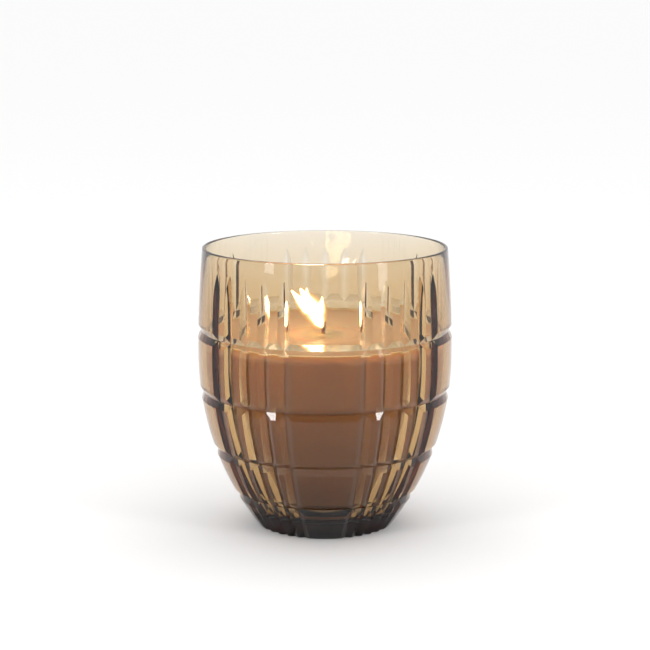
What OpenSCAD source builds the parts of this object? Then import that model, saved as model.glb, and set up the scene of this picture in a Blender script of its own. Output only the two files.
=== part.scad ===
// Cut-glass candle: a barrel-shaped glass with a cut pattern, filled with
// poured wax round one wick that is held by a metal tab and an adhesive dot.
// Millimetres. The origin is at the centre of the foot, +Z points up and
// the plain front panel faces -Y.

/* [Glass] */

// Height of the glass from its foot to its rim
glass_h = 111; // [104:1:118]
// Largest outside diameter of the glass
glass_d = 100; // [96:1:106]
// Height at which the glass is widest
belly_z = 68.5; // [64:0.5:72]
// Radius of the long outside curve from the belly down to the foot
lower_curve_r = 112; // [108:1:120]
// Radius of the nearly straight outside curve from the belly up to the rim
upper_curve_r = 455; // [400:5:600]
// Radius of the rounded edge of the foot
foot_edge_r = 1.5; // [0.8:0.1:2]
// Thickness of the wall at the belly
wall_t = 3; // [2.6:0.1:3.6]
// Thickness of the rounded lip
lip_t = 1.3; // [1:0.1:2]
// Radius of the inside curve from the belly down to the floor
inner_curve_r = 104; // [98:1:108]
// Thickness of the glass under the wax
base_t = 8; // [6:0.5:12]
// Radius of the inside corner between the wall and the floor
floor_fillet_r = 6; // [3:0.5:8]

/* [Cut pattern] */

// Number of groups of upright grooves round the glass
groove_groups = 5; // [4:1:5]
// Number of upright grooves in each group
grooves_per_group = 5; // [3:1:5]
// Angle from one groove of a group to the next
groove_pitch = 9.7; // [8.5:0.1:10]
// Angle between the two grooves that border the plain front panel
front_panel = 35.8; // [30:0.1:40]
// Width of a cut, measured flat across its mouth
cut_w = 5.2; // [4:0.1:5.6]
// Depth of a cut
cut_depth = 1.25; // [0.8:0.05:1.4]
// Depth of the cuts that run round the glass
ring_depth = 1.35; // [0.9:0.05:1.5]
// Height at which the upright grooves begin to run out
run_out_z = 94; // [90:0.5:96]
// Radius of the wheel that shapes the pointed upper end of each groove
wheel_r = 45; // [35:1:50]
// Heights of the cuts that run round the glass
ring_z = [13.2, 31.4, 54, 78.4]; // [12:0.1:80]

/* [Wax] */

// Height of the wax surface above the table
wax_z = 75.2; // [60:0.1:75.5]
// Height that the wax climbs where it clings to the glass
meniscus_h = 0.8; // [0.4:0.1:1.2]
// Diameter of the shallow pool round the wick
pool_d = 30; // [20:1:50]
// Depth of the pool
pool_depth = 0.3; // [0.1:0.1:0.8]

/* [Wick] */

// Diameter of the braided wick
wick_d = 1.8; // [1.4:0.1:2.4]
// Distance of the wick from the axis, left to right
wick_x = -0.7; // [-3:0.1:3]
// Distance of the wick from the axis, front to back
wick_y = 1; // [-3:0.1:3]
// Length of wick that stands out of the wax
wick_out = 5.4; // [4:0.1:8]
// Lean of the burnt end to the right
wick_lean = 9; // [2:1:20]

/* [Wick tab] */

// Diameter of the tab's disc
tab_d = 20; // [15:1:25]
// Thickness of the tab's sheet metal
tab_t = 0.4; // [0.3:0.1:0.6]
// Outside diameter of the neck that is crimped round the wick
neck_d = 3; // [2.8:0.1:4]
// Height of the neck above the disc
neck_h = 4.5; // [3:0.5:8]

/* [Adhesive dot] */

// Diameter of the dot that holds the tab on the floor of the glass
dot_d = 18; // [12:1:20]
// Thickness of the dot
dot_t = 0.8; // [0.5:0.1:1.2]

/* [Hidden] */

$fn = 180;
belly_r = glass_d / 2;
inner_belly_r = belly_r - wall_t;
lower_centre = [belly_r - lower_curve_r, belly_z];
upper_centre = [belly_r - upper_curve_r, belly_z];
inner_centre = [inner_belly_r - inner_curve_r, belly_z];
reach = 2 * glass_d;

// Outside radius of the uncut glass at height z
function outer_r(z) =
    let (above = z > belly_z)
    let (centre = above ? upper_centre : lower_centre)
    let (curve_r = above ? upper_curve_r : lower_curve_r)
    centre[0] + sqrt(pow(curve_r, 2) - pow(z - belly_z, 2));

// Centre of a circle of radius r that touches the height floor_z from above
// and the inside of the arc of radius curve_r about centre
function nested_centre(centre, curve_r, r, floor_z) =
    let (drop = centre[1] - floor_z - r)
    [centre[0] + sqrt(pow(curve_r - r, 2) - pow(drop, 2)), floor_z + r];

// Slope of a cut's flanks: half its width for each millimetre of depth
flank = cut_w / 2 / cut_depth;
// A cutter stands this far out of the glass
cutter_out = 2;
groove_span = (grooves_per_group - 1) * groove_pitch;
first_group = (front_panel + groove_span) / 2;
group_step = (360 - 2 * first_group) / (groove_groups - 1);

// Past the belly the upright grooves follow one arc that stays within
// 0.05 mm of both outside curves between the two joints
belly_curve_r = 160;
belly_centre = [belly_r + 0.04 - belly_curve_r, belly_z + 3];
lower_joint_z = ring_bottom(ring_z[2])[1];
upper_joint_z = ring_bottom(ring_z[3])[1];
// The wheel that shapes a groove's end sinks this far into its bottom, and
// is kept from this many degrees before its deepest point to this many past
wheel_sink = 0.05;
wheel_start = 5;
wheel_rise = 40;

lip_r = lip_t / 2;
lip_z = glass_h - lip_r;
lip_centre_r = outer_r(lip_z) - lip_r;
inner_lip_r = outer_r(lip_z) - lip_t;
// Inside radius of the wall at height z, from the belly up
function inner_r(z) =
    inner_belly_r + (inner_lip_r - inner_belly_r) * (z - belly_z) / (lip_z - belly_z);

wick_base_z = base_t + dot_t;
// The wick leans from this height up
wick_lean_z = wax_z + 1;
// A rounding circle bites this far past the lines that it rounds
bite = 0.02;

// ---- outlines, each in the plane of radius and height ----

// The space below the height top and above the height bottom
module band(bottom, top) {
    translate([0, bottom])
        square([reach, top - bottom]);
}

// A circle of radius r about centre, kept between two heights
module arc_band(centre, r, bottom, top) {
    intersection() {
        translate(centre)
            circle(r, $fn = 360);
        band(bottom, top);
    }
}

// What rounding with a circle of radius r takes off the corner between the
// height floor_z and the arc of radius curve_r about centre
module corner_waste(centre, curve_r, r, floor_z) {
    nested = nested_centre(centre, curve_r, r - bite, floor_z);
    outwards = (nested - centre) / norm(nested - centre);
    difference() {
        polygon([
            nested,
            nested + [0, -r - 1],
            nested + [2 * r, -r - 1],
            nested + [2 * r, 0],
            nested + (r + 1) * outwards
        ]);
        translate(nested)
            circle(r);
    }
}

module outside_outline() {
    difference() {
        union() {
            arc_band(lower_centre, lower_curve_r, 0, belly_z);
            arc_band(upper_centre, upper_curve_r, belly_z, lip_z);
        }
        corner_waste(lower_centre, lower_curve_r, foot_edge_r, 0);
        for (z = ring_z)
            ring_notch(z);
    }
}

// The hollow of the glass up to the height top
module inside_outline(top) {
    difference() {
        union() {
            arc_band(inner_centre, inner_curve_r, base_t, belly_z);
            intersection() {
                polygon([
                    [0, belly_z],
                    [inner_belly_r, belly_z],
                    [inner_lip_r, lip_z],
                    [inner_lip_r, 2 * glass_h],
                    [0, 2 * glass_h]
                ]);
                band(belly_z, top);
            }
        }
        corner_waste(inner_centre, inner_curve_r, floor_fillet_r, base_t);
    }
}

// ---- the cuts ----

// Section of a cut whose bottom lies at the distance bottom_r from the axis
// that it is swept round; it opens outwards
module cut_section(bottom_r) {
    out = cut_depth + cutter_out;
    polygon([
        [bottom_r, 0],
        [bottom_r + out, flank * out],
        [bottom_r + out, -flank * out]
    ]);
}

// A stretch of upright groove that follows the arc of radius curve_r about
// centre, from the height low to the height high of its bottom line
module groove_stretch(centre, curve_r, low, high) {
    bottom_r = curve_r - cut_depth;
    start = asin((low - centre[1]) / bottom_r);
    end = asin((high - centre[1]) / bottom_r);
    translate([centre[0], 0, centre[1]])
        rotate([90, 0, 0])
            rotate([0, 0, start])
                rotate_extrude(angle = end - start)
                    cut_section(bottom_r);
}

// The pointed upper end of an upright groove, cut by the rim of a wheel
// that sinks a little into the groove's bottom and then rises out of the glass
module groove_end() {
    hub = upper_curve_r - cut_depth - wheel_sink + wheel_r;
    out = cut_depth + cutter_out;
    lean = asin((run_out_z - belly_z) / (upper_curve_r - cut_depth));
    translate([upper_centre[0], 0, belly_z])
        rotate([90, 0, 0])
            rotate([0, 0, lean])
                translate([hub, 0])
                    rotate([0, 0, 180 - wheel_rise])
                        rotate_extrude(angle = wheel_rise + wheel_start)
                            polygon([
                                [wheel_r, 0],
                                [wheel_r - out, flank * out],
                                [wheel_r - out, -flank * out]
                            ]);
}

// A copy of the children at every upright groove
module at_each_groove() {
    for (group = [0 : groove_groups - 1], i = [0 : grooves_per_group - 1]) {
        turn = first_group + group * group_step + i * groove_pitch - groove_span / 2;
        rotate([0, 0, turn - 90])
            children();
    }
}

// Bottom of a ring cut, as a radius and a height
function ring_bottom(z) =
    let (above = z > belly_z)
    let (centre = above ? upper_centre : lower_centre)
    let (curve_r = above ? upper_curve_r : lower_curve_r)
    let (slope = asin((z - belly_z) / curve_r))
    centre + (curve_r - ring_depth) * [cos(slope), sin(slope)];

// Section of a cut that runs round the glass at height z, square to the
// curve of the wall
module ring_notch(z) {
    above = z > belly_z;
    curve_r = above ? upper_curve_r : lower_curve_r;
    translate(above ? upper_centre : lower_centre)
        rotate(asin((z - belly_z) / curve_r))
            cut_section(curve_r - ring_depth);
}

// ---- the pieces ----

// The turned glass with its ring cuts; its seam lies in the front panel
module turned_glass() {
    rotate([0, 0, -90])
        rotate_extrude() {
            difference() {
                outside_outline();
                inside_outline(glass_h);
            }
            intersection() {
                translate([lip_centre_r, lip_z])
                    circle(lip_r);
                band(lip_z, glass_h + 1);
            }
        }
}

// The upright grooves are cut in stretches. They meet inside two of the ring
// cuts, which are a little deeper, so no stretch touches the next.
module glass_vessel() {
    color([0.62, 0.44, 0.26, 0.45])
        difference() {
            difference() {
                difference() {
                    difference() {
                        turned_glass();
                        at_each_groove()
                            groove_stretch(lower_centre, lower_curve_r, -2 * cutter_out, lower_joint_z);
                    }
                    at_each_groove()
                        groove_stretch(belly_centre, belly_curve_r, lower_joint_z, upper_joint_z);
                }
                at_each_groove()
                    groove_stretch(upper_centre, upper_curve_r, upper_joint_z, run_out_z);
            }
            at_each_groove()
                groove_end();
        }
}
// The poured wax, before the wick and its tab are taken out of it: flat,
// with a shallow pool round the wick and a thin edge that climbs the glass
module poured_wax() {
    edge_r = inner_r(wax_z);
    pool_curve_r = (pow(pool_d / 2, 2) + pow(pool_depth, 2)) / (2 * pool_depth);
    difference() {
        rotate_extrude()
            difference() {
                inside_outline(wax_z + meniscus_h);
                polygon([
                    [-1, wax_z],
                    [edge_r - meniscus_h, wax_z],
                    [edge_r - lip_t / 10, wax_z + meniscus_h],
                    [edge_r, wax_z + 2 * meniscus_h],
                    [-1, wax_z + 2 * meniscus_h]
                ]);
            }
        translate([wick_x, wick_y, wax_z - pool_depth + pool_curve_r])
            sphere(pool_curve_r, $fn = 360);
    }
}

module wax_fill() {
    color([0.80, 0.60, 0.42])
        difference() {
            poured_wax();
            wick_space();
            tab_solid();
            dot_solid();
        }
}

module wick_space() {
    translate([wick_x, wick_y, wick_base_z])
        cylinder(h = wax_z + 2 - wick_base_z, d = wick_d);
}

module wick() {
    color([0.20, 0.14, 0.10])
        translate([wick_x, wick_y, wick_base_z]) {
            cylinder(h = wick_lean_z - wick_base_z, d = wick_d);
            translate([0, 0, wick_lean_z - wick_base_z - wick_d / 4])
                rotate([0, wick_lean, 0])
                    cylinder(h = wick_out - 1, d = wick_d);
        }
}

module tab_solid() {
    translate([wick_x, wick_y, wick_base_z]) {
        cylinder(h = tab_t, d = tab_d);
        cylinder(h = tab_t + neck_h, d = neck_d);
    }
}

module wick_tab() {
    color([0.75, 0.75, 0.76])
        difference() {
            tab_solid();
            wick_space();
        }
}

module dot_solid() {
    translate([wick_x, wick_y, base_t])
        cylinder(h = dot_t, d = dot_d);
}

module adhesive_dot() {
    color([0.93, 0.92, 0.88])
        dot_solid();
}

glass_vessel();
wax_fill();
wick();
wick_tab();
adhesive_dot();
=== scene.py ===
"""A lit candle in a barrel-shaped cut glass of smoky amber.

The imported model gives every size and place. This script dresses it: the
glass with its cut pattern, the poured wax, the braided wick with its tab and
adhesive dot, and the flame. Units are metres, +Z is up and the plain front
panel faces -Y.
"""

import logging
import math
from collections.abc import Sequence
from dataclasses import dataclass, field
from enum import Enum

import bpy
import numpy as np
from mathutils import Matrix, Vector, noise


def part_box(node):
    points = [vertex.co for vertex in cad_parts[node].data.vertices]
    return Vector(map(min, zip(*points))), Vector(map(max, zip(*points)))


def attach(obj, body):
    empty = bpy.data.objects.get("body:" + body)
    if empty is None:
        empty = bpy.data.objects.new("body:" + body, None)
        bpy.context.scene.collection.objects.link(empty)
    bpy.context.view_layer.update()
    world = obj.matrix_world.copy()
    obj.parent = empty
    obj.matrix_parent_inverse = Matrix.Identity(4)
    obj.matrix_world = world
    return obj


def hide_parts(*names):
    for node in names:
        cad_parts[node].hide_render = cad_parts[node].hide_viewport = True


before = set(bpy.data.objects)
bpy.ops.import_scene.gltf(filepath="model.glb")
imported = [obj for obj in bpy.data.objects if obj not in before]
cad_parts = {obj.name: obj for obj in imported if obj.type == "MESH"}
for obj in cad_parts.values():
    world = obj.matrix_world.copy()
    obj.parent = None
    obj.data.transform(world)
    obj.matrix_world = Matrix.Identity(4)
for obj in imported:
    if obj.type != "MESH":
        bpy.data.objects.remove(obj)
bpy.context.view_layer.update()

log = logging.getLogger("candle")

BODY = "root"
MM = 0.001
WICK_RADIUS = 0.9 * MM
Colour = tuple[float, float, float, float]
Point = tuple[float, float, float]


class Slot(Enum):
    """The record's material slots."""

    GLASS = "amber_glass"
    WAX = "wax"
    WICK = "cotton_wick"
    TAB = "tab_metal"
    DOT = "adhesive"


class Split(Enum):
    """Which way a row of quads is cut into triangles."""

    RISING = "FIXED"
    FALLING = "FIXED_ALTERNATE"


# ---- shared helpers ----


def corners(node: str) -> tuple[Vector, Vector]:
    """The lowest and highest corners of a CAD node.

    Args:
        node: The node's name.

    Returns:
        The two corners, in metres.
    """
    low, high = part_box(node)
    return Vector(low), Vector(high)


def leave_edit_mode() -> None:
    """Returns to object mode and selects nothing."""
    if bpy.context.object and bpy.context.object.mode != "OBJECT":
        bpy.ops.object.mode_set(mode="OBJECT")
    bpy.ops.object.select_all(action="DESELECT")


def make_active(piece: bpy.types.Object) -> None:
    """Selects one piece only, and makes it the active one.

    Args:
        piece: The piece to select.
    """
    leave_edit_mode()
    piece.select_set(True)
    bpy.context.view_layer.objects.active = piece


def clean_up(piece: bpy.types.Object, smooth_angle: float, gap: float = 1e-6) -> None:
    """Merges doubled points, turns the faces outwards and smooths the shading.

    Args:
        piece: The piece to finish.
        smooth_angle: Edges that bend more than this, in degrees, stay sharp.
        gap: Points nearer than this, in metres, become one.
    """
    make_active(piece)
    bpy.ops.object.mode_set(mode="EDIT")
    bpy.ops.mesh.select_all(action="SELECT")
    bpy.ops.mesh.remove_doubles(threshold=gap)
    bpy.ops.mesh.dissolve_degenerate(threshold=gap)
    bpy.ops.mesh.normals_make_consistent(inside=False)
    bpy.ops.object.mode_set(mode="OBJECT")
    bpy.ops.object.shade_smooth_by_angle(angle=math.radians(smooth_angle))
    leave_edit_mode()


def apply_modifiers(piece: bpy.types.Object) -> None:
    """Applies every modifier on a piece, in order.

    Args:
        piece: The piece whose modifiers are applied.
    """
    make_active(piece)
    for modifier in list(piece.modifiers):
        bpy.ops.object.modifier_apply(modifier=modifier.name)


def wrapped_grid(name: str, points: np.ndarray) -> bpy.types.Object:
    """A grid primitive whose points are laid on the surface of a shape.

    Args:
        name: The new piece's name.
        points: Places for the grid's points, as rows by columns by three.

    Returns:
        The grid as an object at the origin.
    """
    rows, columns = points.shape[:2]
    leave_edit_mode()
    bpy.ops.mesh.primitive_grid_add(
        x_subdivisions=columns - 1, y_subdivisions=rows - 1, size=1.0
    )
    piece = bpy.context.object
    piece.name = piece.data.name = name
    piece.data.vertices.foreach_set("co", points.reshape(-1).astype(np.float32))
    piece.data.update()
    return piece


def split_quads(piece: bpy.types.Object, quads: Sequence[int], way: Split) -> None:
    """Cuts chosen quads into triangles along one diagonal.

    Args:
        piece: The piece that the quads belong to.
        quads: The quads' numbers.
        way: The diagonal to cut along.
    """
    make_active(piece)
    bpy.context.tool_settings.mesh_select_mode = (False, False, True)
    bpy.ops.object.mode_set(mode="EDIT")
    bpy.ops.mesh.select_all(action="DESELECT")
    bpy.ops.object.mode_set(mode="OBJECT")
    chosen = np.zeros(len(piece.data.polygons), dtype=bool)
    chosen[list(quads)] = True
    piece.data.polygons.foreach_set("select", chosen)
    bpy.ops.object.mode_set(mode="EDIT")
    bpy.ops.mesh.quads_convert_to_tris(quad_method=way.value, ngon_method="BEAUTY")
    bpy.ops.object.mode_set(mode="OBJECT")


def arc_points(
    centre: Sequence[float], radius: float, start: float, end: float, steps: int
) -> list[tuple[float, float]]:
    """Points along an arc in the plane of radius and height.

    Args:
        centre: The arc's centre.
        radius: The arc's radius.
        start: Angle of the first point above the horizontal, in radians.
        end: Angle of the last point, in radians.
        steps: Number of stretches between them.

    Returns:
        The points, both ends included.
    """
    return [
        (centre[0] + radius * math.cos(a), centre[1] + radius * math.sin(a))
        for a in np.linspace(start, end, steps + 1)
    ]


def ride(piece: bpy.types.Object, slot: Slot | None, *nodes: str) -> None:
    """Fixes a piece to the one body and hides the CAD nodes that it replaces.

    Args:
        piece: The finished piece.
        slot: The record's material slot; not used.
        nodes: The CAD nodes that it replaces.
    """
    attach(piece, BODY)
    if nodes:
        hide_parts(*nodes)
    log.info("%s: %d points", piece.name, len(piece.data.vertices))


# ---- finishes ----


class NodeBoard:
    """A material's nodes, with short calls to add and join them."""

    def __init__(self, name: str) -> None:
        """Starts an empty material.

        Args:
            name: The material's name.
        """
        self.material = bpy.data.materials.new(name)
        self.material.use_nodes = True
        self.tree = self.material.node_tree
        self.tree.nodes.clear()
        self.output = self.tree.nodes.new("ShaderNodeOutputMaterial")

    def add(self, kind: str, inputs: dict | None = None, **settings: object) -> bpy.types.Node:
        """Adds a node.

        Args:
            kind: The node's type, without the ShaderNode in front.
            inputs: Values or sockets for its inputs, by name or number.
            settings: Its own properties.

        Returns:
            The new node.
        """
        node = self.tree.nodes.new("ShaderNode" + kind)
        for key, value in settings.items():
            setattr(node, key, value)
        for key, value in (inputs or {}).items():
            if isinstance(value, bpy.types.NodeSocket):
                self.tree.links.new(value, node.inputs[key])
            else:
                node.inputs[key].default_value = value
        return node

    def surface(self, socket: bpy.types.NodeSocket) -> None:
        """Joins a shader to the surface output."""
        self.tree.links.new(socket, self.output.inputs["Surface"])

    def volume(self, socket: bpy.types.NodeSocket) -> None:
        """Joins a shader to the volume output."""
        self.tree.links.new(socket, self.output.inputs["Volume"])

    def place(self) -> bpy.types.NodeSocket:
        """The socket that gives a point's place in the object."""
        return self.add("TexCoord").outputs["Object"]

    def noise(self, scale: float, detail: float = 2.0) -> bpy.types.NodeSocket:
        """A soft random pattern.

        Args:
            scale: How fine it is, in repeats for each metre.
            detail: How many finer layers are added.

        Returns:
            The socket with its value.
        """
        node = self.add("TexNoise", {"Vector": self.place(), "Scale": scale, "Detail": detail})
        return node.outputs["Fac"]

    def ramp(
        self, value: bpy.types.NodeSocket, stops: Sequence[tuple[float, Colour]]
    ) -> bpy.types.NodeSocket:
        """Turns a value into a colour.

        Args:
            value: The socket with the value.
            stops: Places from 0 to 1 with their colours, in order.

        Returns:
            The socket with the colour.
        """
        node = self.add("ValToRGB", {"Fac": value})
        band = node.color_ramp.elements
        while len(band) < len(stops):
            band.new(0.5)
        for element, (place, colour) in zip(band, stops, strict=True):
            element.position = place
            element.color = colour
        return node.outputs["Color"]

    def spread(
        self, value: bpy.types.NodeSocket, low: float, high: float, start: float, end: float
    ) -> bpy.types.NodeSocket:
        """Maps a range of values onto another, held at its ends.

        Args:
            value: The socket with the value.
            low: The value that gives start.
            high: The value that gives end.
            start: The result at low.
            end: The result at high.

        Returns:
            The socket with the result.
        """
        node = self.add(
            "MapRange",
            {"Value": value, "From Min": low, "From Max": high, "To Min": start, "To Max": end},
        )
        return node.outputs["Result"]

    def bump(
        self, height: bpy.types.NodeSocket, strength: float, distance: float
    ) -> bpy.types.NodeSocket:
        """A normal that follows a height pattern.

        Args:
            height: The socket with the height, from 0 to 1.
            strength: How strongly it shows.
            distance: The height at 1, in metres.

        Returns:
            The socket with the normal.
        """
        node = self.add("Bump", {"Height": height, "Strength": strength, "Distance": distance})
        return node.outputs["Normal"]


@dataclass(frozen=True)
class AmberGlass:
    """Polished smoky amber glass, tinted all through."""

    tint: Colour = (0.72, 0.5, 0.09, 1.0)
    density: float = 310.0
    index: float = 1.51
    polish: float = 0.0
    handling: float = 0.05
    ripple_scale: float = 60.0
    ripple_height: float = 0.00002

    def material(self) -> bpy.types.Material:
        """The material, with a faint ripple and faint traces of handling.

        Returns:
            The material.
        """
        board = NodeBoard("amber_glass")
        haze = board.spread(board.noise(90.0, 4.0), 0.55, 0.8, self.polish, self.handling)
        ripple = board.bump(board.noise(self.ripple_scale, 1.0), 0.3, self.ripple_height)
        shader = board.add(
            "BsdfPrincipled",
            {
                "Base Color": (1.0, 1.0, 1.0, 1.0),
                "Transmission Weight": 1.0,
                "IOR": self.index,
                "Roughness": haze,
                "Normal": ripple,
            },
        )
        board.surface(shader.outputs["BSDF"])
        tint = board.add("VolumeAbsorption", {"Color": self.tint, "Density": self.density})
        board.volume(tint.outputs["Volume"])
        return board.material


@dataclass(frozen=True)
class PouredWax:
    """Tan wax: soft light under a smooth skin, glossy where it is melted, with painted shade
    darker towards the floor and a painted flame-lit top.
    """

    top: float
    bottom: float
    wick_place: tuple[float, float]
    pool_radius: float = 0.011
    # Painted light: the top colour is painted as if lit by the flame, the side colour is painted
    # shade, and the deepest colour is painted shade at the floor.
    lit: Colour = (0.66, 0.42, 0.25, 1.0)
    side: Colour = (0.47, 0.215, 0.05, 1.0)
    painted_deep_shade: Colour = (0.115, 0.055, 0.032, 1.0)
    shaded_side_ends: float = 0.955
    lit_starts: float = 0.982
    depth: float = 0.0035
    name: str = "poured_wax"
    sheen: float = 0.12

    def material(self) -> bpy.types.Material:
        """The material, with painted shade darker towards the floor and a painted flame-lit top,
        and smoother at the wick.

        Returns:
            The material.
        """
        board = NodeBoard(self.name)
        place = board.place()
        split = board.add("SeparateXYZ", {"Vector": place})
        mottle = board.noise(140.0, 4.0)
        lift = board.spread(split.outputs["Z"], self.bottom, self.top, 0.0, 1.0)
        shade = board.add("Math", {0: lift, 1: board.spread(mottle, 0.3, 0.7, -0.01, 0.01)})
        # The ramp paints shade by height: painted shade at the floor, painted shade on the sides,
        # a painted flame-lit top.
        colour = board.ramp(
            shade.outputs["Value"],
            [(0.0, self.painted_deep_shade), (self.shaded_side_ends, self.side), (self.lit_starts, self.lit)],
        )
        centre = board.add(
            "VectorMath",
            {0: place, 1: (*self.wick_place, self.top)},
            operation="DISTANCE",
        )
        gloss = board.spread(
            centre.outputs["Value"], self.pool_radius * 0.8, self.pool_radius * 1.6, 0.06, 0.34
        )
        skin = board.bump(board.noise(700.0, 3.0), 0.25, 0.00006)
        shader = board.add(
            "BsdfPrincipled",
            {
                "Base Color": colour,
                "Roughness": gloss,
                "IOR": 1.44,
                "Specular IOR Level": self.sheen,
                "Subsurface Weight": 1.0,
                "Subsurface Radius": (1.0, 0.55, 0.3),
                "Subsurface Scale": self.depth,
                "Normal": skin,
            },
        )
        board.surface(shader.outputs["BSDF"])
        return board.material


@dataclass(frozen=True)
class BraidedCotton:
    """Wax-wet cotton: amber at the wax, its own colour with a painted glow from the flame on it;
    charred above it.
    """

    wax_level: float
    char_start: float = 0.0016
    char_full: float = 0.0030
    # The amber at the wax is the wet cotton's colour with a painted glow from the flame.
    soaked_and_painted_glow: Colour = (0.85, 0.42, 0.14, 1.0)
    singed: Colour = (0.16, 0.06, 0.03, 1.0)
    charred: Colour = (0.018, 0.014, 0.012, 1.0)

    def material(self) -> bpy.types.Material:
        """The material, with the fibres as fine streaks.

        Returns:
            The material.
        """
        board = NodeBoard("braided_cotton")
        height = board.add("SeparateXYZ", {"Vector": board.place()}).outputs["Z"]
        burn = board.spread(
            height, self.wax_level, self.wax_level + 2.0 * self.char_full, 0.0, 1.0
        )
        ragged = board.add(
            "Math", {0: burn, 1: board.spread(board.noise(2500.0), 0.3, 0.7, -0.06, 0.06)}
        )
        stop = self.char_start / (2.0 * self.char_full)
        # The ramp paints the flame's glow on the cotton at the wax, then singed and charred cotton
        # above.
        colour = board.ramp(
            ragged.outputs["Value"],
            [(0.0, self.soaked_and_painted_glow), (stop, self.singed), (0.5, self.charred)],
        )
        fibres = board.bump(board.noise(6000.0, 3.0), 0.6, 0.00008)
        shader = board.add(
            "BsdfPrincipled",
            {
                "Base Color": colour,
                "Roughness": 0.7,
                "Sheen Weight": 0.2,
                "Subsurface Weight": 0.3,
                "Subsurface Radius": (1.0, 0.4, 0.2),
                "Subsurface Scale": 0.0008,
                "Normal": fibres,
            },
        )
        board.surface(shader.outputs["BSDF"])
        return board.material


@dataclass(frozen=True)
class TinPlate:
    """Thin stamped sheet with rolling marks."""

    colour: Colour = (0.70, 0.70, 0.72, 1.0)

    def material(self) -> bpy.types.Material:
        """The material, with fine marks along the sheet.

        Returns:
            The material.
        """
        board = NodeBoard("tin_plate")
        stretched = board.add("Mapping", {"Vector": board.place(), "Scale": (60.0, 2500.0, 60.0)})
        marks = board.add("TexNoise", {"Vector": stretched.outputs["Vector"], "Scale": 1.0})
        rough = board.spread(marks.outputs["Fac"], 0.3, 0.7, 0.22, 0.42)
        shader = board.add(
            "BsdfPrincipled",
            {
                "Base Color": self.colour,
                "Metallic": 1.0,
                "Roughness": rough,
                "Normal": board.bump(marks.outputs["Fac"], 0.2, 0.00001),
            },
        )
        board.surface(shader.outputs["BSDF"])
        return board.material


@dataclass(frozen=True)
class AdhesiveFoam:
    """Soft white foam with open pores."""

    colour: Colour = (0.88, 0.87, 0.83, 1.0)
    painted_pore_shade: Colour = (0.66, 0.64, 0.60, 1.0)

    def material(self) -> bpy.types.Material:
        """The material, pitted with small pores, with painted shade in them.

        Returns:
            The material.
        """
        board = NodeBoard("adhesive_foam")
        pores = board.add("TexVoronoi", {"Vector": board.place(), "Scale": 2600.0})
        # Painted shade: the pores' hollows are painted darker than the foam.
        colour = board.ramp(pores.outputs["Distance"], [(0.0, self.painted_pore_shade), (0.45, self.colour)])
        shader = board.add(
            "BsdfPrincipled",
            {
                "Base Color": colour,
                "Roughness": 0.85,
                "Normal": board.bump(pores.outputs["Distance"], 0.4, 0.00008),
            },
        )
        board.surface(shader.outputs["BSDF"])
        return board.material


@dataclass(frozen=True)
class FlameShell:
    """One of the nested skins of glowing gas that make up the flame."""

    name: str
    colour: Colour
    strength: float
    cover: float
    size: float

    def material(self) -> bpy.types.Material:
        """The material: light through a part of the surface.

        Returns:
            The material.
        """
        board = NodeBoard(self.name)
        clear = board.add("BsdfTransparent")
        glow = board.add("Emission", {"Color": self.colour, "Strength": self.strength})
        mix = board.add(
            "MixShader",
            {"Fac": self.cover, 1: clear.outputs["BSDF"], 2: glow.outputs["Emission"]},
        )
        board.surface(mix.outputs["Shader"])
        return board.material


@dataclass(frozen=True)
class PaleFloor:
    """A plain matt floor."""

    colour: Colour = (0.93, 0.93, 0.93, 1.0)

    def material(self) -> bpy.types.Material:
        """The material.

        Returns:
            The material.
        """
        board = NodeBoard("pale_floor")
        shader = board.add("BsdfDiffuse", {"Color": self.colour})
        board.surface(shader.outputs["BSDF"])
        return board.material


# ---- the glass ----


@dataclass(frozen=True)
class Level:
    """One row of points round the outside of the glass.

    Args:
        height: Its height.
        land: Radius of the uncut surface there.
        valley: Radius of the bottom of an upright groove there.
        slope: How steeply a groove's flanks rise there.
        in_ring: True on the bottom line of a cut that runs round the glass.
    """

    height: float
    land: float
    valley: float
    slope: float
    in_ring: bool = False


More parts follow.
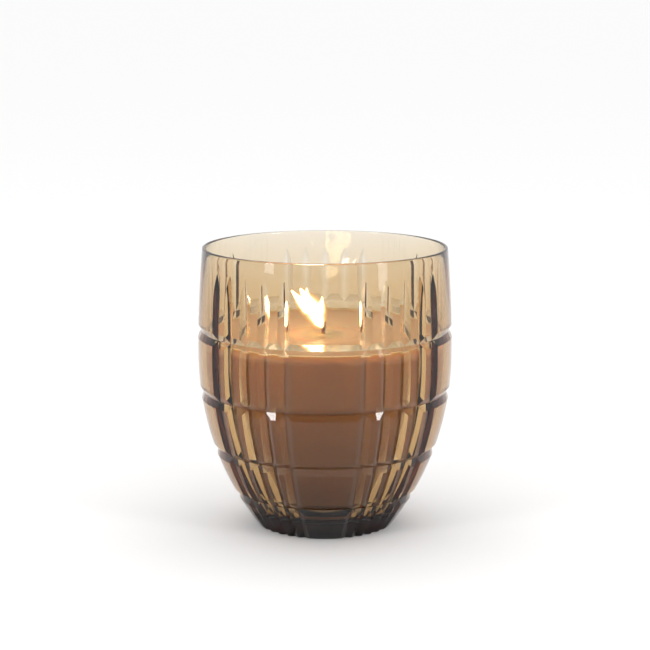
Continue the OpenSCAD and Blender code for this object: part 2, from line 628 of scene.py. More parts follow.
@dataclass
class GlassVessel:
    """The barrel-shaped glass with its cut pattern, as one closed skin."""

    low: Vector
    high: Vector
    belly_height: float = 68.5 * MM
    lower_curve: float = 112 * MM
    upper_curve: float = 455 * MM
    foot_edge: float = 1.5 * MM
    foot_lean: float = 37.0
    wall: float = 3.0 * MM
    lip: float = 1.3 * MM
    inner_curve: float = 104 * MM
    base: float = 8 * MM
    floor_fillet: float = 6 * MM
    groups: int = 5
    grooves_per_group: int = 5
    pitch: float = 9.7
    front_panel: float = 35.8
    cut_width: float = 5.2 * MM
    cut_depth: float = 1.25 * MM
    run_out: float = 94 * MM
    wheel: float = 45 * MM
    rings: tuple[float, ...] = (13.2 * MM, 31.4 * MM, 54 * MM, 78.4 * MM)
    row_gap: float = 1.4 * MM
    panel_step: float = 1.25
    land_columns: int = 3
    finish: AmberGlass = field(default_factory=AmberGlass)

    def __post_init__(self) -> None:
        """Works out the curves' centres and the lip from the driving sizes."""
        self.height = self.high.z
        self.belly = self.high.x
        self.lower_centre = (self.belly - self.lower_curve, self.belly_height)
        self.upper_centre = (self.belly - self.upper_curve, self.belly_height)
        self.inner_belly = self.belly - self.wall
        self.inner_centre = (self.inner_belly - self.inner_curve, self.belly_height)
        self.flank = self.cut_depth / (self.cut_width / 2.0)
        self.lip_radius = self.lip / 2.0
        self.lip_height = self.height - self.lip_radius
        lip_outside = self.outside(self.lip_height)
        self.lip_centre = (lip_outside - self.lip_radius, self.lip_height)
        self.inner_lip = lip_outside - self.lip
        self.foot_nest = self.nested(self.lower_centre, self.lower_curve, self.foot_edge, 0.0)
        self.wheel_hub = self.find_wheel_hub()

    def curve_at(self, height: float) -> tuple[tuple[float, float], float]:
        """The centre and radius of the outside curve at a height.

        Args:
            height: The height.

        Returns:
            The curve's centre and its radius.
        """
        if height > self.belly_height:
            return self.upper_centre, self.upper_curve
        return self.lower_centre, self.lower_curve

    def outside(self, height: float, inset: float = 0.0) -> float:
        """Outside radius at a height.

        Args:
            height: The height.
            inset: How far inside the surface, square to it.

        Returns:
            The radius.
        """
        centre, radius = self.curve_at(height)
        rise = height - self.belly_height
        return centre[0] + math.sqrt((radius - inset) ** 2 - rise**2)

    def inside(self, height: float) -> float:
        """Inside radius at a height, rounding of the floor left out.

        Args:
            height: The height.

        Returns:
            The radius.
        """
        if height > self.belly_height:
            share = (height - self.belly_height) / (self.lip_height - self.belly_height)
            return self.inner_belly + (self.inner_lip - self.inner_belly) * share
        drop = self.belly_height - height
        return self.inner_centre[0] + math.sqrt(self.inner_curve**2 - drop**2)

    def nested(
        self, centre: Sequence[float], curve: float, edge: float, floor: float
    ) -> tuple[float, float]:
        """Centre of a circle that rounds the corner of a curve and a floor.

        Args:
            centre: The curve's centre.
            curve: The curve's radius.
            edge: The circle's radius.
            floor: The floor's height.

        Returns:
            The circle's centre.
        """
        drop = centre[1] - floor - edge
        return centre[0] + math.sqrt((curve - edge) ** 2 - drop**2), floor + edge

    def find_wheel_hub(self) -> tuple[float, float]:
        """Centre of the wheel that shapes the grooves' pointed ends.

        Returns:
            Its distance from the axis and its height.
        """
        bottom = self.upper_curve - self.cut_depth
        lean = math.asin((self.run_out - self.belly_height) / bottom)
        reach = bottom + self.wheel
        return (
            self.upper_centre[0] + reach * math.cos(lean),
            self.belly_height + reach * math.sin(lean),
        )

    def land(self, height: float) -> float:
        """Radius of the uncut surface, with the foot's rounded edge.

        Args:
            height: The height.

        Returns:
            The radius.
        """
        radius = self.outside(height)
        if height < self.foot_nest[1]:
            rise = self.foot_nest[1] - height
            rounded = self.foot_nest[0] + math.sqrt(max(self.foot_edge**2 - rise**2, 0.0))
            radius = min(radius, rounded)
        return radius

    def valley(self, height: float) -> float:
        """Radius of the bottom of an upright groove; past the land, no cut.

        Args:
            height: The height.

        Returns:
            The radius.
        """
        if height <= self.run_out:
            return self.outside(height, self.cut_depth)
        rise = height - self.wheel_hub[1]
        return self.wheel_hub[0] - math.sqrt(self.wheel**2 - rise**2)

    def level(self, height: float) -> Level:
        """The row of points at a height.

        Args:
            height: The height.

        Returns:
            The row.
        """
        centre, radius = self.curve_at(height)
        lean = math.asin((height - self.belly_height) / radius)
        return Level(height, self.land(height), self.valley(height), self.flank / math.cos(lean))

    def tip_height(self) -> float:
        """Height at which an upright groove ends in a point.

        Returns:
            The height.
        """
        low, high = self.run_out, self.run_out + 0.5 * self.wheel
        for _ in range(40):
            middle = (low + high) / 2.0
            if self.valley(middle) < self.land(middle):
                low = middle
            else:
                high = middle
        return low

    def ring_levels(self, height: float) -> list[Level]:
        """The lower edge, the bottom and the upper edge of a ring cut.

        Args:
            height: The height of the cut's middle on the surface.

        Returns:
            The three rows, from the lowest up.
        """
        centre, radius = self.curve_at(height)
        lean = math.asin((height - self.belly_height) / radius)
        share = (radius - self.cut_depth) / radius
        flank = self.flank
        half = math.acos(share / math.hypot(1.0, flank)) - math.atan(flank)
        edges = [self.belly_height + radius * math.sin(lean + side * half) for side in (-1, 1)]
        bottom_radius = centre[0] + (radius - self.cut_depth) * math.cos(lean)
        bottom_height = self.belly_height + (radius - self.cut_depth) * math.sin(lean)
        bottom = Level(bottom_height, bottom_radius, bottom_radius, flank, True)
        return [self.level(edges[0]), bottom, self.level(edges[1])]

    def levels(self) -> list[Level]:
        """Every row round the outside, from the foot up to the lip.

        Returns:
            The rows.
        """
        fixed: list[Level] = [self.level(0.0)]
        touch = self.foot_edge * (1.0 - math.sin(math.radians(self.foot_lean)))
        fixed += [self.level(touch * share) for share in (0.02, 0.1, 0.25, 0.5, 1.0)]
        for ring in self.rings:
            fixed += self.ring_levels(ring)
        tip = self.tip_height()
        fixed += [self.level(z) for z in (self.belly_height, self.run_out, tip, self.lip_height)]
        fixed.sort(key=lambda level: level.height)
        rows = [fixed[0]]
        for below, above in zip(fixed, fixed[1:], strict=False):
            gap = self.row_gap * (0.5 if self.run_out < above.height <= tip + MM else 1.0)
            steps = max(1, math.ceil((above.height - below.height) / gap))
            if below.in_ring or above.in_ring:
                steps = 1
            for step in range(1, steps):
                share = step / steps
                rows.append(self.level(below.height + (above.height - below.height) * share))
            rows.append(above)
        return rows

    def groove_angles(self) -> list[float]:
        """Angles of the upright grooves from the front, in radians.

        Returns:
            One angle for each groove.
        """
        span = (self.grooves_per_group - 1) * self.pitch
        first = (self.front_panel + span) / 2.0
        step = (360.0 - 2.0 * first) / (self.groups - 1)
        return [
            math.radians(first + group * step + i * self.pitch - span / 2.0)
            for group in range(self.groups)
            for i in range(self.grooves_per_group)
        ]

    def half_angle(self, level: Level, widest: float) -> float:
        """Half the angle that a groove takes up at a level.

        Args:
            level: The row of points.
            widest: The most that it may be.

        Returns:
            The angle in radians; above a groove's tip, a small one that
            keeps the columns apart.
        """
        tip = self.tip_height()
        if level.height > tip:
            return min((level.height - tip) / (4 * MM), 1.0) * math.radians(1.2)
        reach = level.land
        if level.in_ring:
            outer = self.outside(level.height)
            share = self.outside(level.height, self.cut_depth) / outer
        else:
            share = level.valley / reach
        cosine = min(share / math.hypot(1.0, level.slope), 1.0)
        return min(max(math.acos(cosine) - math.atan(level.slope), 0.0), widest)

    def radius_at(self, level: Level, offset: float) -> float:
        """Radius of the surface at an angle from the nearest groove.

        Args:
            level: The row of points.
            offset: Angle from the groove's middle, in radians.

        Returns:
            The radius.
        """
        if level.in_ring:
            return level.land
        turn = abs(offset)
        fall = math.cos(turn) - level.slope * math.sin(turn)
        return min(level.land, level.valley / fall) if fall > 0 else level.land

    def columns(self) -> list[tuple[int, int, float]]:
        """Every column of points: its groove, its side and its share.

        Returns:
            For each column the groove before it, its side of the groove
            (-1, 0 or 1, or 2 on the land past it) and its share of the way
            across that land.
        """
        angles = self.groove_angles()
        out = []
        for number, angle in enumerate(angles):
            following = angles[(number + 1) % len(angles)]
            width = math.degrees((following - angle) % math.tau)
            inner = self.land_columns
            if width > 2 * self.pitch:
                inner = round((width - 5.6) / self.panel_step) - 1
            out += [(number, side, 0.0) for side in (-1, 0, 1)]
            out += [(number, 2, (k + 1) / (inner + 1)) for k in range(inner)]
        return out

    def outside_rows(self, levels: Sequence[Level]) -> np.ndarray:
        """Places of the points on the outside.

        Args:
            levels: The rows, from the foot up.

        Returns:
            The places, as rows by columns by three.
        """
        angles = self.groove_angles()
        widest = math.radians(self.pitch) * 0.49
        columns = self.columns()
        points = np.zeros((len(levels), len(columns) + 1, 3))
        for row, level in enumerate(levels):
            half = self.half_angle(level, widest)
            for number, (groove, side, share) in enumerate(columns):
                start = angles[groove]
                if side < 2:
                    turn = start + side * half
                    radius = self.radius_at(level, side * half)
                else:
                    gap = (angles[(groove + 1) % len(angles)] - start) % math.tau
                    turn = start + half + share * (gap - 2.0 * half)
                    nearest = min(turn - start, start + gap - turn)
                    radius = self.radius_at(level, nearest)
                place = (radius * math.sin(turn), -radius * math.cos(turn), level.height)
                points[row, number] = place
            points[row, -1] = points[row, 0]
        return points

    def turned_rows(
        self, profile: Sequence[tuple[float, float]], around: np.ndarray
    ) -> np.ndarray:
        """Places of points on a plain turned surface.

        Args:
            profile: Radius and height of each row.
            around: The row of points whose angles are kept.

        Returns:
            The places, as rows by columns by three.
        """
        turn = np.arctan2(around[:, 0], -around[:, 1])
        rows = [
            np.stack([r * np.sin(turn), -r * np.cos(turn), np.full(len(turn), z)], axis=-1)
            for r, z in profile
        ]
        return np.array(rows)

    def inside_profile(self) -> list[tuple[float, float]]:
        """Rows over the lip, down the inside and across the floor.

        Returns:
            Radius and height of each row.
        """
        lip = arc_points(self.lip_centre, self.lip_radius, 0.0, math.pi, 16)[1:]
        steps = 22
        wall = [
            (self.inside(z), z)
            for z in np.linspace(self.lip_height, self.belly_height, steps + 1)[1:]
        ]
        nest = self.nested(self.inner_centre, self.inner_curve, self.floor_fillet, self.base)
        floor = [(nest[0] * share, self.base) for share in (0.96, 0.8, 0.55, 0.3, 0.1, 0.0)]
        return lip + wall + self.inside_bend() + floor

    def inside_bend(self, inset: float = 0.0) -> list[tuple[float, float]]:
        """Rows down the inside from the belly and round the floor's corner.

        Args:
            inset: How far inside the glass's surface, square to it.

        Returns:
            Radius and height of each row.
        """
        nest = self.nested(self.inner_centre, self.inner_curve, self.floor_fillet, self.base)
        meeting = math.atan2(nest[1] - self.inner_centre[1], nest[0] - self.inner_centre[0])
        curve = arc_points(self.inner_centre, self.inner_curve - inset, 0.0, meeting, 30)[1:]
        fillet = arc_points(nest, self.floor_fillet - inset, meeting, -math.pi / 2, 10)[1:]
        return curve + fillet

    def base_shares(self) -> tuple[float, ...]:
        """Shares of the way from the centre of the base to the foot."""
        return (0.0, 0.15, 0.4, 0.7, 0.92, 0.985)

    def crossing_quads(self, levels: Sequence[Level], below: int) -> dict[Split, list[int]]:
        """The quads where an upright groove meets a ring cut.

        Args:
            levels: The rows round the outside.
            below: Number of rows under the first of them.

        Returns:
            Their numbers, by the diagonal that they are cut along.
        """
        columns = self.columns()
        wide = len(columns)
        out: dict[Split, list[int]] = {Split.RISING: [], Split.FALLING: []}
        for row, level in enumerate(levels):
            if not level.in_ring:
                continue
            for number, (_, side, _) in enumerate(columns):
                if side:
                    continue
                for up in (0, -1):
                    for right in (0, -1):
                        quad = (below + row + up) * wide + number + right
                        way = Split.RISING if up == right else Split.FALLING
                        out[way].append(quad)
        return out

    def build(self) -> bpy.types.Object:
        """Models the glass and dresses it.

        Returns:
            The glass, as one closed skin.
        """
        levels = self.levels()
        outside = self.outside_rows(levels)
        foot = outside[0]
        base = np.array([foot * [share, share, 0.0] for share in self.base_shares()])
        inside = self.turned_rows(self.inside_profile(), outside[-1])
        piece = wrapped_grid("glass_vessel_skin", np.concatenate([base, outside, inside]))
        quads = self.crossing_quads(levels, len(base))
        self.split_crossings(piece, quads[Split.RISING], quads[Split.FALLING])
        clean_up(piece, 14.0)
        piece.data.materials.append(self.finish.material())
        ride(piece, Slot.GLASS, "glass_vessel")
        return piece

    def split_crossings(
        self, piece: bpy.types.Object, rising: Sequence[int], falling: Sequence[int]
    ) -> None:
        """Cuts the quads at the crossings of the cuts, each its own way.

        Args:
            piece: The glass.
            rising: Quads cut from lower left to upper right.
            falling: Quads cut from lower right to upper left.
        """
        # Splitting a quad renumbers the faces, so the second kind is marked
        # before the first is split.
        mark = piece.data.attributes.new("falling", "BOOLEAN", "FACE")
        flags = np.zeros(len(piece.data.polygons), dtype=bool)
        flags[list(falling)] = True
        mark.data.foreach_set("value", flags)
        split_quads(piece, rising, Split.RISING)
        flags = np.zeros(len(piece.data.polygons), dtype=bool)
        piece.data.attributes["falling"].data.foreach_get("value", flags)
        split_quads(piece, np.flatnonzero(flags), Split.FALLING)
        piece.data.attributes.remove(piece.data.attributes["falling"])


# ---- the wax ----


@dataclass
class PouredWaxFill:
    """The wax, with the edge that climbs the glass and the pool at the wick."""

    glass: GlassVessel
    level: float
    wick_place: tuple[float, float]
    wick_radius: float
    tab_low: Vector
    tab_high: Vector
    dot_low: Vector
    dot_high: Vector
    neck_radius: float = 1.5 * MM
    tab_thickness: float = 0.4 * MM
    air_gap: float = 0.08 * MM
    climb: float = 0.8 * MM
    pool_radius: float = 13 * MM
    pool_depth: float = 0.3 * MM
    wick_climb: float = 0.45 * MM
    unevenness: float = 0.10 * MM
    columns: int = 192
    rings: int = 60

    def top_height(self, x: float, y: float) -> float:
        """Height of the wax surface at a place.

        Args:
            x: The place, left to right.
            y: The place, front to back.

        Returns:
            The height.
        """
        off_wick = math.hypot(x - self.wick_place[0], y - self.wick_place[1])
        pool = max(0.0, 1.0 - (off_wick / self.pool_radius) ** 2)
        cling = math.exp(-(off_wick - self.wick_radius) / (0.5 * MM))
        edge = self.glass.inside(self.level) - math.hypot(x, y)
        rise = math.exp(-max(edge, 0.0) / (0.45 * MM))
        wave = noise.noise(Vector((x, y, 0.0)) / (14 * MM)) * self.unevenness * (1.0 - pool)
        return (
            self.level
            - self.pool_depth * pool * pool
            + self.wick_climb * min(cling, 1.0)
            + self.climb * min(rise, 1.0)
            + wave
        )

    def outline(self) -> list[tuple[float, float, float]]:
        """Rows of the closed outline: share from wick to axis, radius, height.

        The first value says how far the row's centre has moved from the wick
        (0) to the axis (1); a height of -1 lies on the free surface.

        Returns:
            The rows, closed from the free surface round to the bore.
        """
        glass = self.glass
        wall_top = self.level + self.climb
        heights = np.linspace(wall_top, glass.belly_height, 8)
        side = [(1.0, glass.inside(z) - self.air_gap, z) for z in heights]
        bend = glass.inside_bend(self.air_gap)
        side += [(1.0, r, z) for r, z in bend]
        floor_r, floor_z = bend[-1]
        tab_r = (self.tab_high.x - self.tab_low.x) / 2.0
        dot_r = (self.dot_high.x - self.dot_low.x) / 2.0
        tab_z = self.tab_low.z
        under = [
            (0.5, (floor_r + dot_r) / 2.0, floor_z),
            (0.0, dot_r, floor_z),
            (0.0, dot_r, tab_z),
            (0.0, tab_r, tab_z),
            (0.0, tab_r, tab_z + self.tab_thickness),
            (0.0, self.neck_radius, tab_z + self.tab_thickness),
            (0.0, self.neck_radius, self.tab_high.z),
            (0.0, self.wick_radius, self.tab_high.z),
        ]
        bore = [
            (0.0, self.wick_radius, z)
            for z in np.linspace(self.tab_high.z, self.level, 20)[1:]
        ]
        edge = glass.inside(self.level) - self.air_gap
        free = []
        for step in range(self.rings + 1):
            share = step / self.rings
            radius = self.wick_radius + (edge - self.wick_radius) * share
            free.append((share, radius, -1.0))
        near_edge = [(1.0, edge - gap * MM, -1.0) for gap in (1.2, 0.8, 0.5, 0.3, 0.15, 0.05, 0.0)]
        free = [row for row in free if row[1] < edge - 1.4 * MM] + near_edge
        return free + side + under + bore

    def build(self) -> bpy.types.Object:
        """Models the wax and dresses it.

        Returns:
            The wax, as one closed skin.
        """
        rows = self.outline()
        turn = np.linspace(0.0, math.tau, self.columns + 1)
        points = np.zeros((len(rows) + 1, self.columns + 1, 3))
        for number, (share, radius, height) in enumerate(rows):
            centre_x = self.wick_place[0] * (1.0 - share)
            centre_y = self.wick_place[1] * (1.0 - share)
            for column, angle in enumerate(turn[:-1]):
                x = centre_x + radius * math.cos(angle)
                y = centre_y + radius * math.sin(angle)
                z = self.top_height(x, y) if height < 0 else height
                points[number, column] = (x, y, z)
        points[:, -1] = points[:, 0]
        points[-1] = points[0]
        piece = wrapped_grid("wax_fill_poured", points)
        clean_up(piece, 40.0)
        finish = PouredWax(self.level, self.glass.base, self.wick_place)
        piece.data.materials.append(finish.material())
        ride(piece, Slot.WAX, "wax_fill")
        return piece


@dataclass
class MeltPool:
    """The thin sheet of liquid wax round the wick."""

    wax: PouredWaxFill
    radius: float = 9.4 * MM
    drop: float = 0.09 * MM
    thickness: float = 0.5 * MM
    climb: float = 0.4 * MM
    rings: int = 28
    columns: int = 96

    def build(self) -> bpy.types.Object:
        """Models the pool and dresses it.

        Returns:
            The pool, as a closed sheet with a hole for the wick.
        """
        wax = self.wax
        hole = wax.wick_radius
        level = wax.level - self.drop
        top = [
            (r, level + self.climb * math.exp(-(r - hole) / (0.45 * MM)))
            for r in np.linspace(hole, self.radius, self.rings + 1)
        ]
        under = [(self.radius, level - self.thickness), (hole, level - self.thickness)]
        turn = np.linspace(0.0, math.tau, self.columns + 1)
        x, y = wax.wick_place
        points = np.array(
            [
                np.stack(
                    [x + r * np.cos(turn), y + r * np.sin(turn), np.full(len(turn), z)], axis=-1
                )
                for r, z in [*top, *under, top[0]]
            ]
        )
        piece = wrapped_grid("melt_pool", points)
        clean_up(piece, 40.0)
        finish = PouredWax(
            wax.level, wax.glass.base, wax.wick_place, name="melted_wax", sheen=0.5
        )
        piece.data.materials.append(finish.material())
        ride(piece, Slot.WAX)
        return piece


# ---- the wick, its tab and the dot ----


@dataclass
class Wick:
    """A round braid of cotton with a leaning, burnt end."""

    low: Vector
    high: Vector
    place: tuple[float, float]
    wax_level: float
    radius: float = WICK_RADIUS
    lean: float = 9.0
    strands: int = 8
    braid_pitch: float = 5.2 * MM
    strand_radius: float = 0.27 * MM
    step: float = 0.45 * MM
    weave_depth: float = 0.06 * MM
    burn_start: float = 2.2 * MM
    burn_length: float = 3 * MM
    burn_shrink: float = 0.35
    core_swell: float = 1.9

    def centre(self, height: float) -> Vector:
        """Middle of the wick at a height.

        Args:
            height: The height.

        Returns:
            The point.
        """
        over = max(height - (self.wax_level + 1 * MM), 0.0)
        swing = math.tan(math.radians(self.lean)) * over * over / (over + 0.5 * MM)
        return Vector((self.place[0] + swing, self.place[1], height))

    def strand(self, number: int) -> list[Vector]:
        """Points along one strand, which winds over and under its neighbours.

        Args:
            number: The strand's number.

        Returns:
            The points, from the bottom up.
        """
        way = 1 if number % 2 else -1
        phase = math.tau * (number // 2) / (self.strands // 2)
        top = self.high.z - self.strand_radius - 0.15 * MM * (number % 3)
        bottom = self.low.z + self.strand_radius
        count = round((top - bottom) / self.step)
        points = []
        for i in range(count + 1):
            height = bottom + (top - bottom) * i / count
            angle = phase + way * math.tau * (height - bottom) / self.braid_pitch
            weave = math.cos(self.strands / 2 * angle) * way
            over = height - self.wax_level - self.burn_start
            burnt = min(max(over / self.burn_length, 0.0), 1.0)
            reach = self.radius - self.strand_radius - 0.07 * MM
            reach *= 1.0 - self.burn_shrink * burnt
            reach += self.weave_depth * weave
            offset = Vector((math.cos(angle) * reach, math.sin(angle) * reach, 0.0))
            points.append(self.centre(height) + offset)
        return points

    def build(self) -> bpy.types.Object:
        """Models the wick and dresses it.

        Returns:
            The wick, as one piece of separate strands round a core.
        """
        curve = bpy.data.curves.new("wick_braid", "CURVE")
        curve.dimensions = "3D"
        curve.bevel_depth = self.strand_radius
        curve.bevel_resolution = 1
        curve.use_fill_caps = True
        core = [self.centre(z) for z in np.linspace(self.low.z, self.high.z - 0.5 * MM, 60)]
        for points in [core] + [self.strand(n) for n in range(self.strands)]:
            spline = curve.splines.new("POLY")
            spline.points.add(len(points) - 1)
            spline.points.foreach_set("co", [c for p in points for c in (*p, 1.0)])
            spline.use_smooth = True
        for point in curve.splines[0].points:
            point.radius = self.core_swell
        piece = bpy.data.objects.new("wick_braid", curve)
        bpy.context.collection.objects.link(piece)
        make_active(piece)
        bpy.ops.object.convert(target="MESH")
        piece = bpy.context.object
        clean_up(piece, 50.0, 1e-7)
        piece.data.materials.append(BraidedCotton(self.wax_level).material())
        ride(piece, Slot.WICK, "wick")
        return piece


@dataclass
class WickTab:
    """The stamped disc whose neck is crimped round the wick."""

    low: Vector
    high: Vector
    wick_radius: float = WICK_RADIUS
    neck_radius: float = 1.5 * MM
    sheet: float = 0.4 * MM

    def build(self) -> bpy.types.Object:
        """Models the tab and dresses it.

        Returns:
            The tab.
        """
        centre = (self.low + self.high) / 2.0
        radius = (self.high.x - self.low.x) / 2.0
        neck_top = self.high.z
        z = self.low.z
        top = z + self.sheet
        groove = 0.12 * MM
        outline = [
            (self.wick_radius, z),
            (radius - 0.1 * MM, z),
            (radius, z + 0.1 * MM),
            (radius, top - 0.1 * MM),
            (radius - 0.1 * MM, top),
            (radius * 0.80, top),
            (radius * 0.77, top - groove),
            (radius * 0.72, top - groove),
            (radius * 0.69, top),
            (self.neck_radius + 0.8 * MM, top),
            (self.neck_radius + 0.2 * MM, top + 0.1 * MM),
            (self.neck_radius, top + 0.5 * MM),
            (self.neck_radius, neck_top - 0.1 * MM),
            (self.neck_radius - 0.1 * MM, neck_top),
            (self.wick_radius, neck_top),
        ]
        leave_edit_mode()
        bpy.ops.mesh.primitive_circle_add(
            vertices=len(outline), radius=1 * MM, location=(0.0, 0.0, 0.0)
        )
        piece = bpy.context.object
        piece.name = piece.data.name = "wick_tab_stamped"
        for vertex, (r, height) in zip(piece.data.vertices, outline, strict=True):
            vertex.co = (centre.x + r, centre.y, height)
        make_active(piece)
        bpy.ops.object.mode_set(mode="EDIT")
        bpy.ops.mesh.select_all(action="SELECT")
        bpy.ops.mesh.spin(
            steps=64, angle=math.tau, center=(centre.x, centre.y, 0.0), axis=(0.0, 0.0, 1.0)
        )
        bpy.ops.object.mode_set(mode="OBJECT")
        self.crimp(piece, centre, top)
        clean_up(piece, 30.0)
        piece.data.materials.append(TinPlate().material())
        ride(piece, Slot.TAB, "wick_tab")
        return piece

    def crimp(self, piece: bpy.types.Object, centre: Vector, top: float) -> None:
        """Dents the neck's outside in four places, where the tool gripped it.

        Args:
            piece: The tab.
            centre: The middle of its box.
            top: Height of the disc's upper face.
        """
        for vertex in piece.data.vertices:
            out = Vector((vertex.co.x - centre.x, vertex.co.y - centre.y))
            share = (vertex.co.z - top) / (self.high.z - top)
            if share < 0.3 or out.length < self.wick_radius + 0.1 * MM:
                continue
            dent = 0.12 * MM * max(0.0, math.cos(4.0 * math.atan2(out.y, out.x)))
            out *= (out.length - dent) / out.length
            vertex.co.x = centre.x + out.x
            vertex.co.y = centre.y + out.y


@dataclass
class AdhesiveDot:
    """The soft dot between the tab and the floor of the glass."""

    low: Vector
    high: Vector
    edge: float = 0.25 * MM

    def build(self) -> bpy.types.Object:
        """Models the dot and dresses it.

        Returns:
            The dot.
        """
        centre = (self.low + self.high) / 2.0
        leave_edit_mode()
        bpy.ops.mesh.primitive_cylinder_add(
            vertices=96,
            radius=(self.high.x - self.low.x) / 2.0,
            depth=self.high.z - self.low.z,
            location=centre,
        )
        piece = bpy.context.object
        piece.name = piece.data.name = "adhesive_dot_foam"
        bpy.ops.object.transform_apply(location=True, rotation=True, scale=True)
        bpy.ops.object.mode_set(mode="EDIT")
        bpy.ops.mesh.select_all(action="SELECT")
        bpy.ops.mesh.bevel(offset=self.edge, segments=3, affect="EDGES", profile=0.5)
        bpy.ops.object.mode_set(mode="OBJECT")
        clean_up(piece, 40.0)
        piece.data.materials.append(AdhesiveFoam().material())
        ride(piece, Slot.DOT, "adhesive_dot")
        return piece


# ---- the flame ----


@dataclass
class Flame:
    """A draught-blown flame, as nested skins of glowing gas."""

    wick_top: Vector
    glow_power: float = 0.03
    glow_colour: tuple[float, float, float] = (1.0, 0.72, 0.38)
    glow_radius: float = 3 * MM
    glow_place: Point = (-3.6, 0.0, 5.0)
    voxel: float = 0.22 * MM
    relax_factor: float = 0.6
    relax_rounds: int = 12
    beads_per_stretch: int = 6

    def tongues(self) -> list[list[tuple[float, float, float, float]]]:
        """Middle lines of the flame's tongues, from the wick's top.

        Returns:
            For each tongue its points: left to right, front to back, up and
            the gas's radius there, in millimetres.
        """
        body = [
            (-1.4, 0.0, -0.2, 1.6),
            (-2.6, 0.0, 1.6, 3.3),
            (-3.6, 0.1, 4.2, 4.5),
            (-5.2, 0.2, 6.6, 4.3),
            (-6.9, 0.2, 9.0, 3.2),
            (-8.3, 0.2, 11.2, 1.9),
            (-9.6, 0.2, 13.2, 0.8),
        ]
        left = [
            (-7.0, 0.4, 6.0, 3.2),
            (-9.4, 0.6, 8.4, 2.5),
            (-11.6, 0.7, 10.8, 1.3),
            (-13.2, 0.8, 12.6, 0.6),
        ]
        right = [
            (-2.2, -0.2, 5.4, 3.2),
            (-1.6, -0.3, 7.4, 1.9),
            (-1.2, -0.3, 9.0, 1.0),
            (-1.1, -0.3, 10.4, 0.5),
        ]
        wisp = [
            (-5.6, 0.0, 7.6, 2.6),
            (-6.6, 0.0, 10.0, 1.7),
            (-7.1, 0.0, 12.2, 0.9),
            (-7.2, 0.0, 13.8, 0.4),
        ]
        return [body, left, right, wisp]

    def shells(self) -> list[FlameShell]:
        """The skins, from the outermost in."""
        return [
            FlameShell("flame_haze", (1.0, 0.45, 0.12, 1.0), 1.2, 0.06, 1.22),
            FlameShell("flame_halo", (1.0, 0.52, 0.16, 1.0), 1.5, 0.10, 1.10),
            FlameShell("flame_edge", (1.0, 0.62, 0.24, 1.0), 1.8, 0.16, 0.98),
            FlameShell("flame_mantle", (1.0, 0.70, 0.32, 1.0), 2.4, 0.26, 0.86),
            FlameShell("flame_core", (1.0, 0.80, 0.46, 1.0), 5.0, 0.42, 0.74),
            FlameShell("flame_heart", (1.0, 0.86, 0.58, 1.0), 50.0, 0.95, 0.60),
        ]

    def gas(self, size: float, name: str) -> bpy.types.Object:
        """One closed skin round all the tongues.

        Args:
            size: The gas's radius, as a share of its full one.
            name: The new piece's name.

        Returns:
            The skin.
        """
        beads = []
        for tongue in self.tongues():
            for first, second in zip(tongue, tongue[1:], strict=False):
                for share in np.linspace(0.0, 1.0, self.beads_per_stretch):
                    bead = [a + (b - a) * share for a, b in zip(first, second, strict=True)]
                    beads.append(bead)
        leave_edit_mode()
        parts = []
        for x, y, z, radius in beads:
            bpy.ops.mesh.primitive_ico_sphere_add(
                subdivisions=2,
                radius=radius * size * MM,
                location=self.wick_top + Vector((x, y, z)) * MM,
            )
            parts.append(bpy.context.object)
        for part in parts:
            part.select_set(True)
        bpy.ops.object.join()
        piece = bpy.context.object
        piece.name = piece.data.name = name
        bpy.ops.object.transform_apply(location=True, rotation=True, scale=True)
        remesh = piece.modifiers.new("one skin", "REMESH")
        remesh.mode = "VOXEL"
        remesh.voxel_size = self.voxel
        relax = piece.modifiers.new("soften", "SMOOTH")
        relax.factor = self.relax_factor
        relax.iterations = self.relax_rounds
        apply_modifiers(piece)
        clean_up(piece, 180.0)
        return piece

    def build(self) -> list[bpy.types.Object]:
        """Models the flame and lights it.

        Returns:
            The skins, from the outermost in.
        """
        pieces = []
        for shell in self.shells():
            piece = self.gas(shell.size, shell.name)
            piece.data.materials.append(shell.material())
            ride(piece, None)
            pieces.append(piece)
        self.glow()
        return pieces

    def glow(self) -> None:
        """Adds the flame's soft warm light."""
        light = bpy.data.lights.new("flame_glow", "POINT")
        light.energy = self.glow_power
        light.color = self.glow_colour
        light.shadow_soft_size = self.glow_radius
        lamp = bpy.data.objects.new("flame_glow", light)
        lamp.location = self.wick_top + Vector(self.glow_place) * MM
        bpy.context.collection.objects.link(lamp)


# ---- the studio ----


@dataclass(frozen=True)
class SoftBox:
    """An upright soft light beside the camera."""

    name: str
    azimuth: float
    bottom: float
    top: float
    radiance: float
    distance: float = 1.2
    width: float = 0.20

    def build(self) -> None:
        """Adds the light and turns it to the candle."""
        turn = math.radians(self.azimuth)
        height = (self.bottom + self.top) / 2.0
        tall = self.top - self.bottom
        place = Vector((self.distance * math.sin(turn), -self.distance * math.cos(turn), height))
        light = bpy.data.lights.new(self.name, "AREA")
        light.shape = "RECTANGLE"
        light.size = self.width
        light.size_y = tall
        light.energy = self.radiance * math.pi * self.width * tall
        lamp = bpy.data.objects.new(self.name, light)
        lamp.location = place
        inwards = Vector((-place.x, -place.y, 0.0))
        lamp.rotation_euler = inwards.to_track_quat("-Z", "Y").to_euler()
        bpy.context.collection.objects.link(lamp)


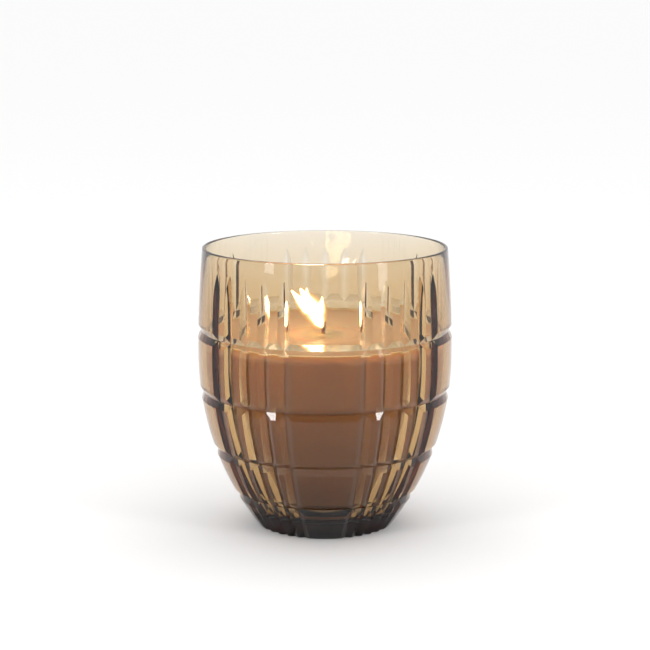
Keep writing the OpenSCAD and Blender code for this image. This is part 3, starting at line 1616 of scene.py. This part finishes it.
@dataclass
class Studio:
    """A pale floor, a bright soft surround and the camera."""

    target_height: float = 79.6 * MM
    camera_distance: float = 750 * MM
    camera_height: float = 215 * MM
    lens: float = 107.2
    floor_radius: float = 60.0
    front_light: float = 0.42
    side_light: float = 1.05
    overhead_light: float = 1.05
    front_band: tuple[float, float] = (-0.4, 0.7)
    overhead_band: tuple[float, float] = (0.35, 0.9)

    def floor(self) -> None:
        """Adds the floor, a large disc under the candle."""
        leave_edit_mode()
        bpy.ops.mesh.primitive_circle_add(
            vertices=96, radius=self.floor_radius, fill_type="NGON", location=(0.0, 0.0, 0.0)
        )
        disc = bpy.context.object
        disc.name = "floor"
        disc.data.materials.append(PaleFloor().material())

    def grade(
        self, value: bpy.types.NodeSocket, band: tuple[float, float], light: tuple[float, float]
    ) -> bpy.types.NodeSocket:
        """Grades the surround's light softly along one direction.

        Args:
            value: The socket with the direction's share, from -1 to 1.
            band: The shares at which the change starts and ends.
            light: The brightness before and after it.

        Returns:
            The socket with the brightness.
        """
        tree = bpy.context.scene.world.node_tree
        node = tree.nodes.new("ShaderNodeMapRange")
        node.interpolation_type = "SMOOTHSTEP"
        for side, start, result in zip(("Min", "Max"), band, light, strict=True):
            node.inputs["From " + side].default_value = start
            node.inputs["To " + side].default_value = result
        tree.links.new(value, node.inputs["Value"])
        return node.outputs["Result"]

    def surround(self) -> None:
        """Lights the scene from all round, less from the camera's side."""
        world = bpy.data.worlds.new("soft surround")
        bpy.context.scene.world = world
        world.use_nodes = True
        tree = world.node_tree
        tree.nodes.clear()
        output = tree.nodes.new("ShaderNodeOutputWorld")
        back = tree.nodes.new("ShaderNodeBackground")
        place = tree.nodes.new("ShaderNodeTexCoord")
        split = tree.nodes.new("ShaderNodeSeparateXYZ")
        tree.links.new(place.outputs["Generated"], split.inputs["Vector"])
        behind = self.grade(
            split.outputs["Y"], self.front_band, (self.front_light, self.side_light)
        )
        above = self.grade(split.outputs["Z"], self.overhead_band, (0.0, self.overhead_light))
        total = tree.nodes.new("ShaderNodeMath")
        tree.links.new(behind, total.inputs[0])
        tree.links.new(above, total.inputs[1])
        tree.links.new(total.outputs["Value"], back.inputs["Strength"])
        tree.links.new(back.outputs["Background"], output.inputs["Surface"])

    def soft_boxes(self) -> list[SoftBox]:
        """A tall dim window and a small bright lamp on either side."""
        return [
            SoftBox("window_left", -51.0, 0.104, 0.95, 4.0),
            SoftBox("window_right", 53.0, 0.062, 0.95, 4.0),
            SoftBox("lamp_left", -51.0, 0.32, 0.56, 14.0, 1.19),
            SoftBox("lamp_right", 53.0, 0.32, 0.56, 14.0, 1.19),
        ]

    def camera(self) -> None:
        """Adds the camera, a little above the rim and looking down at the candle."""
        data = bpy.data.cameras.new("camera")
        data.lens = self.lens
        data.sensor_width = 36.0
        data.clip_start = 0.01
        camera = bpy.data.objects.new("camera", data)
        camera.location = (0.0, -self.camera_distance, self.camera_height)
        aim = Vector((0.0, 0.0, self.target_height)) - camera.location
        camera.rotation_euler = aim.to_track_quat("-Z", "Y").to_euler()
        bpy.context.collection.objects.link(camera)
        bpy.context.scene.camera = camera

    def tracing(self) -> None:
        """Sets how light is followed and how brightness is shown."""
        scene = bpy.context.scene
        scene.view_settings.view_transform = "Standard"
        scene.view_settings.look = "None"
        cycles = scene.cycles
        cycles.max_bounces = 24
        cycles.transmission_bounces = 20
        cycles.glossy_bounces = 8
        cycles.diffuse_bounces = 5
        cycles.transparent_max_bounces = 24
        cycles.sample_clamp_indirect = 6.0
        cycles.blur_glossy = 0.2
        cycles.use_denoising = True

    def build(self) -> None:
        """Sets up the whole studio."""
        self.floor()
        self.surround()
        for box in self.soft_boxes():
            box.build()
        self.camera()
        self.tracing()


def main() -> None:
    """Builds the studio and the candle, piece by piece."""
    Studio().build()
    glass = GlassVessel(*corners("glass_vessel"))
    glass.build()
    wick_low, wick_high = corners("wick")
    tab_low, tab_high = corners("wick_tab")
    dot_low, dot_high = corners("adhesive_dot")
    tab_centre = (tab_low + tab_high) / 2.0
    wick_place = (tab_centre.x, tab_centre.y)
    wax_top = corners("wax_fill")[1].z
    wax = PouredWaxFill(
        glass=glass,
        level=wax_top - PouredWaxFill.climb,
        wick_place=wick_place,
        wick_radius=WICK_RADIUS,
        tab_low=tab_low,
        tab_high=tab_high,
        dot_low=dot_low,
        dot_high=dot_high,
    )
    wax.build()
    MeltPool(wax).build()
    Wick(wick_low, wick_high, wick_place, wax.level).build()
    WickTab(tab_low, tab_high).build()
    AdhesiveDot(dot_low, dot_high).build()
    tip = Vector((wick_high.x - WICK_RADIUS, wick_place[1], wick_high.z - 1.5 * MM))
    Flame(tip).build()


if __name__ == "__main__":
    logging.basicConfig(level=logging.INFO, format="%(name)s: %(message)s")
    main()
